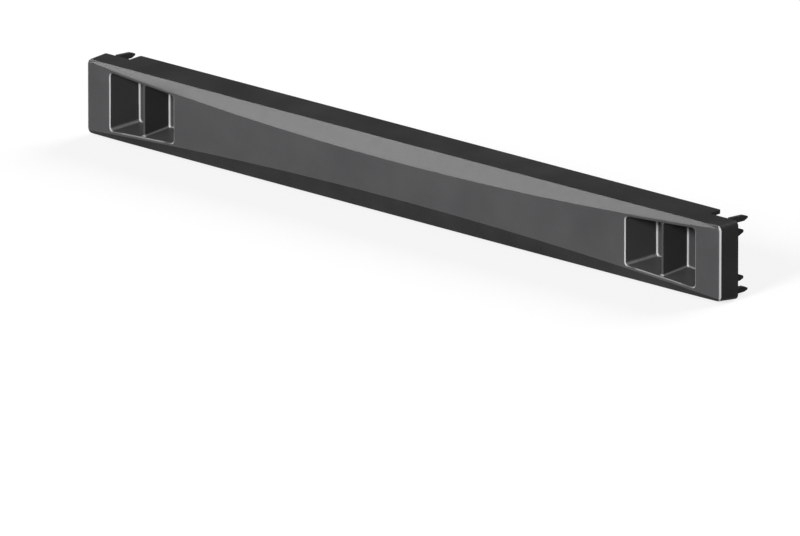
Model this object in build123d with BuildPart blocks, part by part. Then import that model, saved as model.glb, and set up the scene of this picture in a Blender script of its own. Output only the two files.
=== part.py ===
from build123d import *
from math import cos, radians, sin, tan
import os

# Rack blanking panel one unit high, moulded in one piece and open at its back.
# X runs across the rack, Y goes back into it and Z is up. The panel is drawn with Y = 0 level with
# the two ends of its front face. At the end it is moved so that the backs of its ears, which lie
# on the rack's rails, are at Y = 0.

# The rack that the panel fits, in mm
unit_height = 44.45         # pitch of panels stacked above each other
hole_spacing = 465.1        # between the rack's two columns of square holes
ear_overlap = 8.75          # from a column's middle to the end of the ear that covers it
rail_overlap = 12.25        # and to the side of the body, which passes between the rails

# Outside form
unit_gap = 0.25             # left free of the rack unit by the flanges' back edges
ear_depth = 12.7            # from the front to the ears' backs, which lie on the rack's rails
body_depth = 20.9           # from the front to the back edges of the flanges
body_corner = 1.0           # upright corners of those back edges
mould_draft = 3.85          # degrees that every outer side leans
outline_corner = 3.0        # the front outline's four corners
front_edge = 1.3            # rounding round the front outline
wall = 2.0                  # of the face, the flanges and the ears' ends

# Bowed front face and the two sloping facets that meet it
front_bow = 3.9             # bulge of the front face at its middle
rim_setback = 0.47          # front edges of the top and underside, behind the front at the ends
rim_bow = 0.92              # bulge of those edges at their middle
facet_lean = 18.2           # degrees from upright

# Finger grips, one pocket of two cells near each end
grip_overlap = 10.25        # from a column's middle to the pocket's outer side
grip_width = 50.8           # of the pocket's mouth
grip_edge_width = 1.75      # of the face left between the pocket and the facets
grip_back_wall = 2.1        # behind the pocket
grip_side_lean = 10.0       # degrees that the pocket's two sides lean
grip_draft = 6.0            # degrees that its floor and ceiling lean
grip_corner = 2.0           # the four corners along its depth
cell_corner = 1.2           # round the back of each cell and where the rib meets the floor
grip_lip = 0.9              # rounding round the pocket's mouth
rib_thickness = 1.4         # of the rib between the two cells, at its front
rib_setback = 1.95          # of the rib's front edge, behind the front face
rib_round = 0.2             # rounding of that edge
rib_draft = 1.0             # degrees that the rib's sides lean

# Hidden stiffening ribs behind the middle of the face
stiffeners = 3
stiffener_thickness = 1.6
stiffener_depth = 15.0      # from the front to the ribs' back edges

# Snap prongs, two long and two short on each ear's web
web_thickness = 3.2         # of the ear's web, which carries the prongs
prong_width = 2.4
prong_root = 6.0            # where the prongs start inside the web
barb_start = 14.9           # where the barbs catch, 2.2 behind the ears' backs
point_length = 2.6          # of the narrower point at each prong's end
tip_round = 0.4
long_tip = 27.4
long_inner = 17.9           # a long prong's side towards the middle of the panel
long_inner_end = 19.1       # and at the tip
long_neck = 20.2            # its other side, where it passes the rail
long_barb = 21.2            # that side just behind the rail
long_shoulder = 20.9        # where the point begins
long_outer_end = 20.1       # and at the tip
short_tip = 24.2
short_outer = 14.2          # a short prong's side away from the middle of the panel
short_outer_end = 13.3      # and at the tip
short_neck = 11.4           # its other side, where it passes the rail
short_barb = 8.0            # that side just behind the rail
short_inner_end = 11.9      # and at the tip

lean = tan(radians(mould_draft))
facet_run = tan(radians(facet_lean))
hole_side = hole_spacing / 2
panel_width = hole_spacing + 2 * ear_overlap
body_half = hole_side - rail_overlap
front_half = panel_width / 2 - ear_depth * lean
grip_outer = hole_side - grip_overlap
grip_inner = grip_outer - grip_width
grip_middle = (grip_inner + grip_outer) / 2
clear_of_front = 2 * front_bow + wall


def half_width(y):
    # From the middle of the panel to its ends
    return panel_width / 2 - (ear_depth - y) * lean


def half_height(y):
    # From the middle of the panel to its top and underside
    return (unit_height - unit_gap) / 2 - (body_depth - y) * lean


def front_y(x):
    # The bowed front face
    return -front_bow * (1 - (x / front_half) ** 2)


def rim_y(x):
    # The front edges of the top and underside
    return rim_setback - rim_bow * (1 - (x / front_half) ** 2)


def face_half_height(x):
    # From the middle of the front face to the facets that bound it
    return half_height(0) - (rim_y(x) - front_y(x)) / facet_run


def bowed_prism(side, inset, back_points):
    # Upright prism behind the bowed face, set back by inset and closed by its right half's points
    with BuildPart() as prism:
        with BuildSketch(Plane.XY.offset(-unit_height / 2)):
            with BuildLine():
                ThreePointArc(
                    (-side, front_y(side) + inset),
                    (0, front_y(0) + inset),
                    (side, front_y(side) + inset),
                )
                Polyline(
                    (side, front_y(side) + inset),
                    *back_points,
                    *[(-x, y) for x, y in reversed(back_points)],
                    (-side, front_y(side) + inset),
                )
            make_face()
        extrude(amount=unit_height)
    return prism.part


def facet_cutter(up, inset):
    # What lies in front of the upper facet, or of the lower one where up is -1, set back by inset
    plane = Plane(
        origin=(0, rim_y(0), up * half_height(0)),
        x_dir=(up, 0, 0),
        z_dir=(0, sin(radians(facet_lean)), up * cos(radians(facet_lean))),
    )
    side = panel_width / 2 + wall
    edge = inset + (rim_y(side) - rim_y(0)) * cos(radians(facet_lean))
    with BuildPart() as cutter:
        with BuildSketch(plane):
            with BuildLine():
                ThreePointArc((-side, edge), (0, inset), (side, edge))
                Polyline((side, edge), (side, -clear_of_front), (-side, -clear_of_front), (-side, edge))
            make_face()
        extrude(amount=unit_height / 2, both=True)
    return cutter.part


def between_flanges(inset, back):
    # Everything between the top and the underside, brought in by inset
    low = half_height(-clear_of_front) - inset / cos(radians(mould_draft))
    high = half_height(back) - inset / cos(radians(mould_draft))
    with BuildPart() as between:
        with BuildSketch(Plane.YZ):
            with BuildLine():
                Polyline((-clear_of_front, -low), (-clear_of_front, low), (back, high), (back, -high), close=True)
            make_face()
        extrude(amount=panel_width, both=True)
    return between.part


def end_corners(form):
    # The four edges where the ends meet the top and underside
    ends = [form.faces().sort_by(Axis.X)[0], form.faces().sort_by(Axis.X)[-1]]
    return [end.edges().sort_by(Axis.Z)[i] for end in ends for i in (0, -1)]


# Outside of the panel, before its hollows
ear_outline = [(half_width(ear_depth), ear_depth), (body_half, ear_depth), (body_half, body_depth)]
with BuildPart() as outside:
    add(bowed_prism(front_half, 0, ear_outline))
    add(between_flanges(0, body_depth), mode=Mode.INTERSECT)
    fillet(outside.edges().filter_by(Axis.Z).group_by(Axis.Y)[-1], radius=body_corner)
    fillet(end_corners(outside), radius=outline_corner)
    fillet(outside.faces().sort_by(Axis.Y)[0].edges(), radius=front_edge)
    add([facet_cutter(1, 0), facet_cutter(-1, 0)], mode=Mode.SUBTRACT)


def grip_half_height(x, grow):
    # From the middle of the panel to a pocket's ceiling, in the plane where its sketch lies
    return face_half_height(x) - grip_edge_width + grow + clear_of_front * tan(radians(grip_draft))


def grip_pocket(grow, back, corner):
    # The right-hand pocket before its rib, made larger all round by grow
    side = tan(radians(grip_side_lean))
    inner = grip_inner - grow
    outer = grip_outer + grow
    sketch_inner = inner - outline_corner
    sketch_outer = outer + outline_corner
    with BuildPart() as pocket:
        with BuildSketch(Plane.ZX.offset(-clear_of_front)):
            with BuildLine():
                Polyline(
                    (-grip_half_height(sketch_inner, grow), sketch_inner),
                    (grip_half_height(sketch_inner, grow), sketch_inner),
                    (grip_half_height(sketch_outer, grow), sketch_outer),
                    (-grip_half_height(sketch_outer, grow), sketch_outer),
                    close=True,
                )
            make_face()
        extrude(amount=back + clear_of_front, taper=grip_draft)
        with BuildSketch():
            with BuildLine():
                Polyline(
                    (inner - (clear_of_front + front_y(inner)) * side, -clear_of_front),
                    (outer + (clear_of_front + front_y(outer)) * side, -clear_of_front),
                    (outer - (back - front_y(outer)) * side, back),
                    (inner + (back - front_y(inner)) * side, back),
                    close=True,
                )
            make_face()
        extrude(amount=unit_height, both=True, mode=Mode.INTERSECT)
        lengthwise = pocket.edges().filter_by(lambda edge: abs(edge.tangent_at(0.5).Y) > 0.9)
        fillet(lengthwise, radius=corner)
    return pocket.part


# The open cells of a pocket, on either side of the rib
grip_back = body_depth - grip_back_wall
rib_front = front_y(grip_middle) + rib_setback
rib_spread = (body_depth - rib_front) * tan(radians(rib_draft))
with BuildPart() as grip_cells:
    add(grip_pocket(0, grip_back, grip_corner))
    with BuildSketch(Plane.XY.offset(-unit_height / 2)) as rib_section:
        with BuildLine():
            Polyline(
                (grip_middle - rib_thickness / 2, rib_front),
                (grip_middle + rib_thickness / 2, rib_front),
                (grip_middle + rib_thickness / 2 + rib_spread, body_depth),
                (grip_middle - rib_thickness / 2 - rib_spread, body_depth),
                close=True,
            )
        make_face()
        fillet(rib_section.vertices().group_by(Axis.Y)[0], radius=rib_round)
    extrude(amount=unit_height, mode=Mode.SUBTRACT)
    rib_feet = grip_cells.faces().filter_by(
        lambda face: abs(face.center().X - grip_middle) < rib_thickness and abs(face.normal_at().X) > 0.9
    )
    fillet(rib_feet.edges().filter_by(lambda edge: abs(edge.tangent_at(0.5).Y) > 0.9), radius=cell_corner)
    fillet(grip_cells.faces().sort_by(Axis.Y)[-2:].edges(), radius=cell_corner)
    mirror(about=Plane.YZ)

# The hollow at the back, with what stands in it left out
hollow_back = body_depth + wall
hollow_outline = [(half_width(hollow_back) - wall, hollow_back)]
bay_width = 2 * grip_inner / (stiffeners + 1)
with BuildPart() as hollow:
    add(bowed_prism(half_width(wall) - wall, wall, hollow_outline))
    add(between_flanges(wall, hollow_back), mode=Mode.INTERSECT)
    fillet(end_corners(hollow), radius=outline_corner - wall)
    add([facet_cutter(1, wall), facet_cutter(-1, wall)], mode=Mode.SUBTRACT)
    add(grip_pocket(wall, hollow_back, grip_corner + wall), mode=Mode.SUBTRACT)
    add(mirror(grip_pocket(wall, hollow_back, grip_corner + wall), about=Plane.YZ, mode=Mode.PRIVATE),
        mode=Mode.SUBTRACT)
    with GridLocations(bay_width, 0, stiffeners, 1):
        Box(stiffener_thickness, 2 * stiffener_depth, unit_height, mode=Mode.SUBTRACT)
    with GridLocations(hole_spacing, 0, 2, 1):
        Box(web_thickness, 2 * hollow_back, unit_height, mode=Mode.SUBTRACT)

# The snap prongs of one ear's upper half, seen from the panel's right end
with BuildPart() as prongs:
    with BuildSketch(Plane.YZ.offset(hole_side)) as long_prong:
        with BuildLine():
            Polyline(
                (prong_root, long_inner),
                (long_tip - point_length, long_inner),
                (long_tip, long_inner_end),
                (long_tip, long_outer_end),
                (long_tip - point_length, long_shoulder),
                (barb_start, long_barb),
                (barb_start, long_neck),
                (prong_root, long_neck),
                close=True,
            )
        make_face()
        fillet(long_prong.vertices().group_by(Axis.X)[-1], radius=tip_round)
    extrude(amount=prong_width / 2, both=True)
    with BuildSketch(Plane.YZ.offset(hole_side)) as short_prong:
        with BuildLine():
            Polyline(
                (prong_root, short_outer),
                (short_tip - point_length, short_outer),
                (short_tip, short_outer_end),
                (short_tip, short_inner_end),
                (barb_start, short_barb),
                (barb_start, short_neck),
                (prong_root, short_neck),
                close=True,
            )
        make_face()
        fillet(short_prong.vertices().group_by(Axis.X)[-1], radius=tip_round)
    extrude(amount=prong_width / 2, both=True)
    mirror(about=Plane.XY)
    mirror(about=Plane.YZ)

# The whole panel in one piece
with BuildPart() as blanking_panel:
    add(outside.part)
    add(hollow.part, mode=Mode.SUBTRACT)
    add(grip_cells.part, mode=Mode.SUBTRACT)
    fillet(blanking_panel.faces().sort_by(Axis.Y)[0].inner_wires().edges(), radius=grip_lip)
    add(prongs.part)

os.makedirs("parts", exist_ok=True)
placed_panel = blanking_panel.part.moved(Location((0, -ear_depth, 0)))
placed_panel.label = "blanking_panel"
export_step(placed_panel, "parts/blanking_panel.step")
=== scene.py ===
from math import cos, radians, sin

import bpy
import numpy as np
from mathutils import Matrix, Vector


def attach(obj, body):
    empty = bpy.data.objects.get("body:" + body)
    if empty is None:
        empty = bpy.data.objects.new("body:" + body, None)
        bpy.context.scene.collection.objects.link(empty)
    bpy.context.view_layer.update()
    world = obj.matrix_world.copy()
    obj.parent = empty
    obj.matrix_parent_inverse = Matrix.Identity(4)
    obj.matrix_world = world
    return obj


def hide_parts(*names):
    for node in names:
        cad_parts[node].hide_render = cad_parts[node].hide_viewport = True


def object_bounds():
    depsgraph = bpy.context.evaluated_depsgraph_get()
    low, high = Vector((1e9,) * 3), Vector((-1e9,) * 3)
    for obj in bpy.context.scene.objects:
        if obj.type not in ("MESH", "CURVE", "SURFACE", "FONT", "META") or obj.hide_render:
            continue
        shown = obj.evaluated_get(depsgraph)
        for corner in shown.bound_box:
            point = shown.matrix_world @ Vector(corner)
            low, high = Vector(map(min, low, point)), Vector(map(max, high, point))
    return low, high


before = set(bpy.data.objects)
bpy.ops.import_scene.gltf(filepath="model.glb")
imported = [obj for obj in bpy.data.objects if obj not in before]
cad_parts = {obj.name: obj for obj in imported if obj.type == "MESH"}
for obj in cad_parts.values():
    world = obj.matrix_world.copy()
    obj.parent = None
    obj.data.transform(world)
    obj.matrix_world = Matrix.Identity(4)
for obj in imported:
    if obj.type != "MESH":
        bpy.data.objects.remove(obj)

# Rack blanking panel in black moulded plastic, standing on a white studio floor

cadLow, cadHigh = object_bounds()
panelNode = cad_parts["blanking_panel"]
scene = bpy.context.scene


# Shader sockets that can be added up and multiplied like numbers
class Wire:
    def __init__(self, tree, socket=None):
        self.tree = tree
        self.socket = socket

    def add(self, kind, settings, inputs, output=0):
        # Any node: its settings first, a ramp's stops being places and greys, and then the values
        # or wires of its sockets
        node = self.tree.nodes.new(kind)
        for name, value in settings.items():
            if name == "stops":
                for stop, (place, grey) in zip(node.color_ramp.elements, value):
                    stop.position = place
                    stop.color = (grey, grey, grey, 1)
            else:
                setattr(node, name, value)
        for name, value in inputs.items():
            if isinstance(value, Wire):
                self.tree.links.new(value.socket, node.inputs[name])
            else:
                node.inputs[name].default_value = value
        return Wire(self.tree, node.outputs[output] if node.outputs else None)

    def other(self, output):
        # Another output of the node that this wire leaves
        return Wire(self.tree, self.socket.node.outputs[output])

    def maths(self, operation, first, second):
        return self.add("ShaderNodeMath", {"operation": operation}, {0: first, 1: second})

    def __add__(self, other):
        return self.maths("ADD", self, other)

    def __radd__(self, other):
        return self.maths("ADD", other, self)

    def __sub__(self, other):
        return self.maths("SUBTRACT", self, other)

    def __mul__(self, other):
        return self.maths("MULTIPLY", self, other)

    def __rmul__(self, other):
        return self.maths("MULTIPLY", other, self)


def newMaterial(name):
    material = bpy.data.materials.new(name)
    material.use_nodes = True
    material.node_tree.nodes.clear()
    return material, Wire(material.node_tree)


def mixedColour(wire, share, first, second):
    # A colour that goes from the first to the second as the share goes from 0 to 1
    inputs = {"Factor": share, "A": first, "B": second}
    return wire.add("ShaderNodeMix", {"data_type": "RGBA"}, inputs, "Result")


# The panel's skin: the moulding's own surface, joined up and smooth everywhere but at its creases
skin = {
    "joinWithin": 2e-6,                  # metres between points that are one point
    "creaseAngle": 35.0,                 # degrees; a sharper edge is a crease
    "frontBow": 0.0039,                  # bulge of the front face at its middle
    "frontHalf": 0.240445,               # half of its width
    "frontReach": 0.00004,               # metres from the front face that still count as on it
    "uprightWithin": 2.0,                # degrees that the front face may lean
    "shallowCrease": 16.0,               # degrees; the facets meet it at little more than this
    "roundingStep": 3.0,                 # degrees; a rounding's strips turn by more than this
    "roundingStrip": (0.00006, 0.0009),  # metres; and their widths lie between these
    "roundingAhead": 0.3,                # least share of its direction that points to the front
    "roundingSide": 1.5,                 # how much painted highlight a rounding gets that turns sideways
    "roundingUp": 0.63,                  # and one that turns upwards
    "gripCorner": 0.42,                  # and one between a grip's floor and its sides,
    "gripCornerFull": 0.5,               # where it turns this much both sideways and upwards
    "facetLean": 18.2,                   # degrees that the facets lean
    "facetPlay": 3.0,                    # and what one of their faces may differ from that
    "faceAhead": 0.9,                    # a facet's and the front face's least share that points ahead
    "gripMiddle": 0.1969,                # of each finger grip, from the panel's middle
    "gripHalf": (0.0262, 0.0175),        # half of its mouth's width and height, and a little more
    "gripLean": (0.176, 0.105),          # slopes of its sides and of its floor
    "gripEnds": (-0.0175, 0.0066),       # where it starts and ends along Y
    "inside": (0.218, 0.0203),           # half of the width and height inside the outer sides
}


def inGrips(places):
    # A grip is a box that grows narrower with its depth, by its slopes times that depth
    depth = places[:, 1] - skin["gripEnds"][0]
    halfWidth, halfHeight = (half - lean * depth for half, lean in zip(skin["gripHalf"], skin["gripLean"]))
    aside = np.abs(np.abs(places[:, 0]) - skin["gripMiddle"])
    between = (depth > 0) & (places[:, 1] < skin["gripEnds"][1])
    return between & (aside < halfWidth) & (np.abs(places[:, 2]) < halfHeight)


def unitVectors(vectors):
    # Each vector divided by its length, and the lengths; one of no length stays as it is
    lengths = np.linalg.norm(vectors, axis=1)
    return vectors / np.where(lengths > 0, lengths, 1)[:, None], lengths


def joinedTriangles(node):
    # Reads the node's loose triangles and joins the points that share a place
    points = np.empty(len(node.data.vertices) * 3)
    node.data.vertices.foreach_get("co", points)
    points = points.reshape(-1, 3)
    corners = np.empty(len(node.data.loops), int)
    node.data.loops.foreach_get("vertex_index", corners)
    grid = np.round(points / skin["joinWithin"])
    _, first, joined = np.unique(grid, axis=0, return_index=True, return_inverse=True)
    faces = joined.reshape(-1)[corners].reshape(-1, 3)
    whole = (faces != np.roll(faces, 1, axis=1)).all(axis=1)
    return points[first], faces[whole]


def facePairs(faces):
    # Each edge's two points and two faces, found by sorting the faces' sides by their points
    sides = np.sort(faces[:, [0, 1, 1, 2, 2, 0]].reshape(-1, 2), axis=1)
    owner = np.repeat(np.arange(len(faces)), 3)
    order = np.lexsort((sides[:, 1], sides[:, 0]))
    sides, owner = sides[order], owner[order]
    twin = np.flatnonzero((sides[:-1] == sides[1:]).all(axis=1))
    return sides[twin], (owner[twin], owner[twin + 1])


def creaseMask(across, turn, pair, onFront):
    # An edge is a crease where its two faces turn sharply, and where the front face meets a facet:
    # there a face that is upright and one that leans meet at a shallow turn, on the front face
    upright = np.abs(across[:, 2]) < sin(radians(skin["uprightWithin"]))
    meets = upright[pair[0]] != upright[pair[1]]
    shallow = turn < cos(radians(skin["shallowCrease"]))
    return (turn < cos(radians(skin["creaseAngle"]))) | (meets & shallow & onFront)


def roundingStrips(lengths, doubleArea, pair, turning):
    # A rounding's faces are narrow strips: their doubled area divided by their side's length, which is
    # their width, is small, and they turn from the face on the other side of it
    strip = np.zeros(len(doubleArea), bool)
    narrowest, widest = skin["roundingStrip"]
    for side in pair:
        width = doubleArea[side] / lengths
        strip[side[turning & (width > narrowest) & (width < widest)]] = True
    return strip


def roundingHighlights(points, faces, slopes, strip):
    # A point gets a painted highlight where it points forwards and all faces round it are strips of a
    # rounding, the more it turns sideways or upwards. The corners between a grip's floor and its sides get
    # a painted highlight too.
    rounded = np.ones(len(points), bool)
    np.logical_and.at(rounded, faces.reshape(-1), np.repeat(strip, 3))
    normal = np.zeros((len(points), 3))
    np.add.at(normal, faces.reshape(-1), np.repeat(slopes, 3, axis=0))
    normal, _ = unitVectors(normal)
    ahead = -normal[:, 1] > skin["roundingAhead"]
    sideways, upwards = np.abs(normal[:, 0]), np.maximum(normal[:, 2], 0)
    pale = np.clip(skin["roundingSide"] * sideways + skin["roundingUp"] * upwards, 0, 1)
    corner = np.clip(np.minimum(sideways, upwards) / skin["gripCornerFull"], 0, 1) * inGrips(points)
    return rounded * ahead * pale + ~ahead * skin["gripCorner"] * corner


def colourZones(points, faces, across, strip, onFront):
    # The facets lean by their angle, and are painted darker than the front as painted shade. The front
    # face, the grips, and all that lies inside the moulding's outer sides are painted lighter than the
    # outer sides, which lifts the grips out of their shade.
    lean = np.degrees(np.arcsin(np.clip(np.abs(across[:, 2]), 0, 1)))
    ahead = -across[:, 1] > skin["faceAhead"]
    facet = ahead & ~strip & (np.abs(lean - skin["facetLean"]) < skin["facetPlay"])
    middle = points[faces].mean(axis=1)
    paintedLighter = inGrips(middle) | (np.abs(middle[:, [0, 2]]) < skin["inside"]).all(axis=1)
    return facet, paintedLighter | (ahead & onFront[faces].all(axis=1))


def addAttribute(mesh, name, kind, domain, values):
    attribute = mesh.attributes.new(name, kind, domain)
    attribute.data.foreach_set("value", values)


def panelSkin(node):
    points, faces = joinedTriangles(node)
    mesh = bpy.data.meshes.new("panelSkin")
    mesh.from_pydata(points.tolist(), [], faces.tolist())
    mesh.update()
    mesh.polygons.foreach_set("use_smooth", np.ones(len(faces), bool))

    # Each face's direction, and the cosine of the turn from face to face at each edge
    corners = points[faces]
    slopes = np.cross(corners[:, 1] - corners[:, 0], corners[:, 2] - corners[:, 0])
    across, doubleArea = unitVectors(slopes)
    ends, pair = facePairs(faces)
    turn = (across[pair[0]] * across[pair[1]]).sum(axis=1)

    # The front face lies back from the panel's foremost point by its bow, times the square of the
    # share of its half width
    front = cadLow.y + skin["frontBow"] * (points[:, 0] / skin["frontHalf"]) ** 2
    onFront = np.abs(points[:, 1] - front) < skin["frontReach"]

    sharp = creaseMask(across, turn, pair, onFront[ends].all(axis=1))
    lengths = np.linalg.norm(points[ends[:, 0]] - points[ends[:, 1]], axis=1)
    turning = ~sharp & (turn < cos(radians(skin["roundingStep"])))
    strip = roundingStrips(lengths, doubleArea, pair, turning)
    pale = roundingHighlights(points, faces, slopes, strip)
    facet, paintedLighter = colourZones(points, faces, across, strip, onFront)
    print("finishes:", facet.sum(), "faces on the facets,", paintedLighter.sum(), "paintedLighter")

    # The mesh's own edges, each told by its two points as one number
    edges = np.empty(len(mesh.edges) * 2, int)
    mesh.edges.foreach_get("vertices", edges)
    edges = np.sort(edges.reshape(-1, 2), axis=1)
    creased = np.isin(edges @ (len(points), 1), ends[sharp] @ (len(points), 1))

    # The share of the roundings' painted highlight; the facets, painted darker as shade and glossier; and
    # the parts painted lighter
    addAttribute(mesh, "rounded", "FLOAT", "POINT", pale.astype(np.float32))
    addAttribute(mesh, "facet", "FLOAT", "FACE", facet.astype(np.float32))
    addAttribute(mesh, "paintedLighter", "FLOAT", "FACE", paintedLighter.astype(np.float32))
    addAttribute(mesh, "sharp_edge", "BOOLEAN", "EDGE", creased)
    print("skin:", len(faces), "triangles,", creased.sum(), "creases")
    return mesh


panel = bpy.data.objects.new("panelSkin", panelSkin(panelNode))
bpy.context.collection.objects.link(panel)

# Large faces are shaded flat, and the small ones beside them take up the turn
weigh = panel.modifiers.new("largeFacesLead", "WEIGHTED_NORMAL")
weigh.mode = "FACE_AREA"
weigh.weight = 100
weigh.keep_sharp = True


# Black moulded plastic with a fine even grain; its roundings carry a painted highlight, its facets and
# outer sides painted shade
plastic = {
    "colour": (0.027, 0.027, 0.0278),          # of the outer sides and the prongs, painted darker than the front as painted shade
    "frontAndGripColour": (0.060, 0.060, 0.062),   # of the front face, the grips and the inside, painted lighter than the outer sides; in the grips, against their shade
    # painted shade: the facets darker than the front and the outer sides
    "facetShadeColour": (0.016, 0.016, 0.0166),
    "tintAndHighlightColour": (0.85, 0.85, 0.855),         # of the painted highlights on the roundings, and of the grain's and patches' tint
    "roughness": 0.38,
    "facetGloss": 0.18,                        # by which the facets are smoother
    "roughnessSwing": 0.02,                    # from patch to patch
    "specular": 0.057,
    "grainNoise": (0.00035, 2.0, 0.55),        # metres between the grain's bumps, detail, roughness
    "grainDepth": 0.000006,
    "grainTint": 0.04,                         # share of the pale colour that comes and goes with it
    "patchNoise": (0.030, 4.0, 0.5),           # and the same of faint patches in the finish
    "patchTint": 0.02,                         # share of the pale colour that comes and goes with them
    "haze": 0.01,                              # share of the pale colour that is everywhere
    "edgeRadius": 0.00025,                     # of the sharp edges' own small rounding
    "edgeSamples": 4,
    "highlightShare": 0.85,                          # share of the pale colour painted as a highlight on the brightest rounding
    "highlightSwing": 0.2,                          # share of that painted highlight that comes and goes with the patches
}


def plasticMaterial():
    material, wire = newMaterial("mouldedPlastic")
    place = wire.add("ShaderNodeTexCoord", {}, {}, "Object")
    grain, patches = (
        wire.add(
            "ShaderNodeTexNoise", {"noise_dimensions": "3D"},
            {"Vector": place, "Scale": 1 / size, "Detail": detail, "Roughness": roughness}, "Fac",
        )
        for size, detail, roughness in (plastic["grainNoise"], plastic["patchNoise"])
    )
    swing = patches * 2 - 1
    rounded, paintedLighter, facet = (
        wire.add("ShaderNodeAttribute", {"attribute_name": name}, {}, "Fac")
        for name in ("rounded", "paintedLighter", "facet")
    )

    # Each colour lies over the one before it: the outer sides, the front and grips painted lighter, the
    # facets painted darker as shade, and the pale painted highlight with the grain's and patches' tint. The
    # rounding's share is squared, which keeps its painted highlight narrow.
    highlightPaint = plastic["highlightShare"] * rounded * rounded * (1 + plastic["highlightSwing"] * swing)
    tint = plastic["haze"] + plastic["patchTint"] * swing + plastic["grainTint"] * (grain - 0.5)
    colour = (*plastic["colour"], 1)
    for share, finish in (
        (paintedLighter, "frontAndGripColour"), (facet, "facetShadeColour"), (highlightPaint + tint, "tintAndHighlightColour"),
    ):
        colour = mixedColour(wire, share, colour, (*plastic[finish], 1))

    softEdge = wire.add(
        "ShaderNodeBevel", {"samples": plastic["edgeSamples"]},
        {"Radius": plastic["edgeRadius"]}, "Normal",
    )
    bump = wire.add(
        "ShaderNodeBump", {},
        {"Strength": 1.0, "Distance": plastic["grainDepth"], "Height": grain, "Normal": softEdge}, "Normal",
    )
    rough = plastic["roughness"] + plastic["roughnessSwing"] * swing - plastic["facetGloss"] * facet
    surface = wire.add(
        "ShaderNodeBsdfPrincipled", {},
        {"Base Color": colour, "Roughness": rough, "Normal": bump,
         "Specular IOR Level": plastic["specular"]},
    )
    wire.add("ShaderNodeOutputMaterial", {}, {"Surface": surface})
    return material


panel.data.materials.append(plasticMaterial())
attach(panel, "root")
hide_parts("blanking_panel")
print("plastic on", panel.name)


# White studio floor that the panel stands on, and the light
studio = {
    "floorSize": 60.0,
    "floorGap": 0.00001,                # metres between the floor and the panel
    "floorColour": (0.25, 0.25, 0.25),
    "floorBounce": (0.20, 0.20, 0.20),  # of the light that the floor throws back up
    "floorGlow": (0.78, 0.78, 0.78),    # added for the eye and for gloss, so that it looks white
    "coveTop": 0.03,                    # sine of the height up to which the cove behind it is white
    "coveFade": 0.14,                   # and of the height where it has faded to the dim studio
    "dimLight": 0.08,
    "lampsAway": 3.0,                   # metres, which changes nothing in their light
    # Lamps: watts a square metre, degrees across, degrees to the left of straight in front, and
    # degrees above the horizon
    "lamps": {
        "backLamp": (2.35, 35.0, 180.0, 33.0),
        "keyLamp": (2.86, 16.0, -11.0, 25.0),
        "sideLamp": (1.05, 9.0, 45.0, 10.5),
    },
}


def whiteFloor():
    half = studio["floorSize"] / 2
    level = cadLow.z - studio["floorGap"]
    mesh = bpy.data.meshes.new("floor")
    mesh.from_pydata(
        [(-half, -half, level), (half, -half, level), (half, half, level), (-half, half, level)],
        [], [(0, 1, 2, 3)],
    )
    floor = bpy.data.objects.new("floor", mesh)
    bpy.context.collection.objects.link(floor)
    material, wire = newMaterial("floorWhite")
    ray = wire.add("ShaderNodeLightPath", {}, {}, "Is Camera Ray")
    seen = ray + ray.other("Is Glossy Ray") + ray.other("Is Transmission Ray")
    colour = mixedColour(wire, seen, (*studio["floorBounce"], 1), (*studio["floorColour"], 1))
    glow = mixedColour(wire, seen, (0, 0, 0, 1), (*studio["floorGlow"], 1))
    paint = wire.add(
        "ShaderNodeBsdfPrincipled", {},
        {"Base Color": colour, "Roughness": 1.0, "Specular IOR Level": 0.0,
         "Emission Color": glow, "Emission Strength": 1.0},
    )
    wire.add("ShaderNodeOutputMaterial", {}, {"Surface": paint})
    mesh.materials.append(material)


def studioWorld():
    # White at the horizon, fading to the dim studio above it
    world = bpy.data.worlds.new("studio")
    world.use_nodes = True
    world.node_tree.nodes.clear()
    wire = Wire(world.node_tree)
    direction = wire.add("ShaderNodeTexCoord", {}, {}, "Generated")
    rise = wire.add("ShaderNodeSeparateXYZ", {}, {"Vector": direction}, "Z")
    stops = [(studio["coveTop"], 1.0), (studio["coveFade"], studio["dimLight"])]
    fade = wire.add("ShaderNodeValToRGB", {"stops": stops}, {"Fac": rise}, "Color")
    light = wire.add("ShaderNodeBackground", {}, {"Color": fade, "Strength": 1.0}, "Background")
    wire.add("ShaderNodeOutputWorld", {}, {"Surface": light})
    scene.world = world


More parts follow.
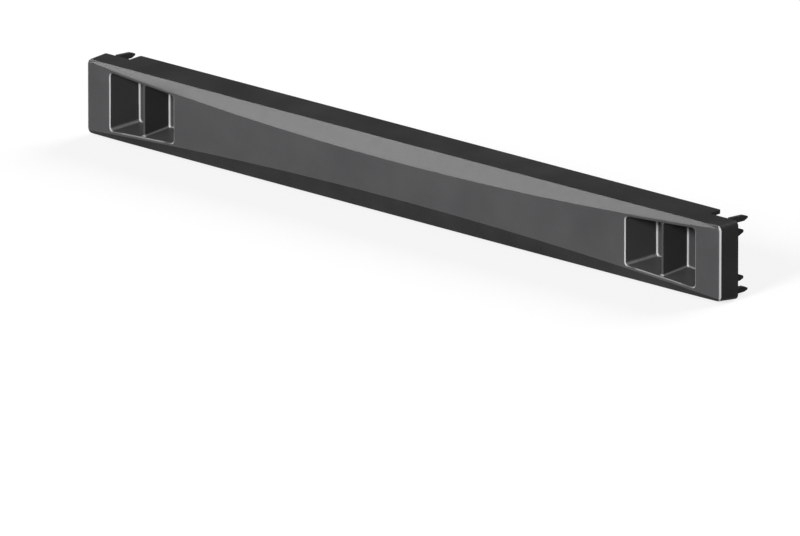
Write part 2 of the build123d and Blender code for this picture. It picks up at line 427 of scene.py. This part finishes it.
def sunLamp(name, strength, spread, turn, height):
    light = bpy.data.lights.new(name, "SUN")
    light.energy = strength
    light.angle = radians(spread)
    lamp = bpy.data.objects.new(name, light)
    bpy.context.collection.objects.link(lamp)
    towards = Vector((
        -sin(radians(turn)) * cos(radians(height)),
        -cos(radians(turn)) * cos(radians(height)),
        sin(radians(height)),
    ))
    lamp.rotation_euler = towards.to_track_quat("Z", "Y").to_euler()
    lamp.location = towards * studio["lampsAway"]


whiteFloor()
studioWorld()
for name, settings in studio["lamps"].items():
    sunLamp(name, *settings)
print("studio lit by", len(studio["lamps"]), "lamps")


# Camera a long way off, so that the view has next to no perspective, as in the photograph
photo = {
    "frame": (800, 536),            # pixels
    "pixelsPerMetre": 1875.5,
    "originAt": (418.6, 174.6),     # the frame's origin in the photograph, in pixels
    "nudge": 2.0,                   # pixels that share out what perspective is left
    "turn": 45.47,                  # degrees to the right of straight in front
    "height": 15.47,                # degrees above the horizon
    "lens": 1100.0,                 # millimetres
    "sensor": 36.0,
    "clipStart": 1.0,               # metres
    "clipEnd": 4,                   # times the camera's distance
}


def photoCamera():
    turn, height = radians(photo["turn"]), radians(photo["height"])
    back = Vector((sin(turn) * cos(height), -cos(turn) * cos(height), sin(height)))
    right = Vector((cos(turn), sin(turn), 0))
    up = back.cross(right)
    aside = (photo["frame"][0] / 2 - photo["originAt"][0] + photo["nudge"]) / photo["pixelsPerMetre"]
    above = (photo["originAt"][1] - photo["frame"][1] / 2) / photo["pixelsPerMetre"]
    distance = photo["lens"] / photo["sensor"] * photo["frame"][0] / photo["pixelsPerMetre"]
    optics = bpy.data.cameras.new("camera")
    optics.lens = photo["lens"]
    optics.sensor_width = photo["sensor"]
    optics.clip_start = photo["clipStart"]
    optics.clip_end = photo["clipEnd"] * distance
    camera = bpy.data.objects.new("camera", optics)
    bpy.context.collection.objects.link(camera)
    camera.location = right * aside + up * above + back * distance
    camera.rotation_euler = back.to_track_quat("Z", "Y").to_euler()
    scene.camera = camera
    print("camera", round(distance, 1), "metres away")


photoCamera()
scene.view_settings.view_transform = "Standard"
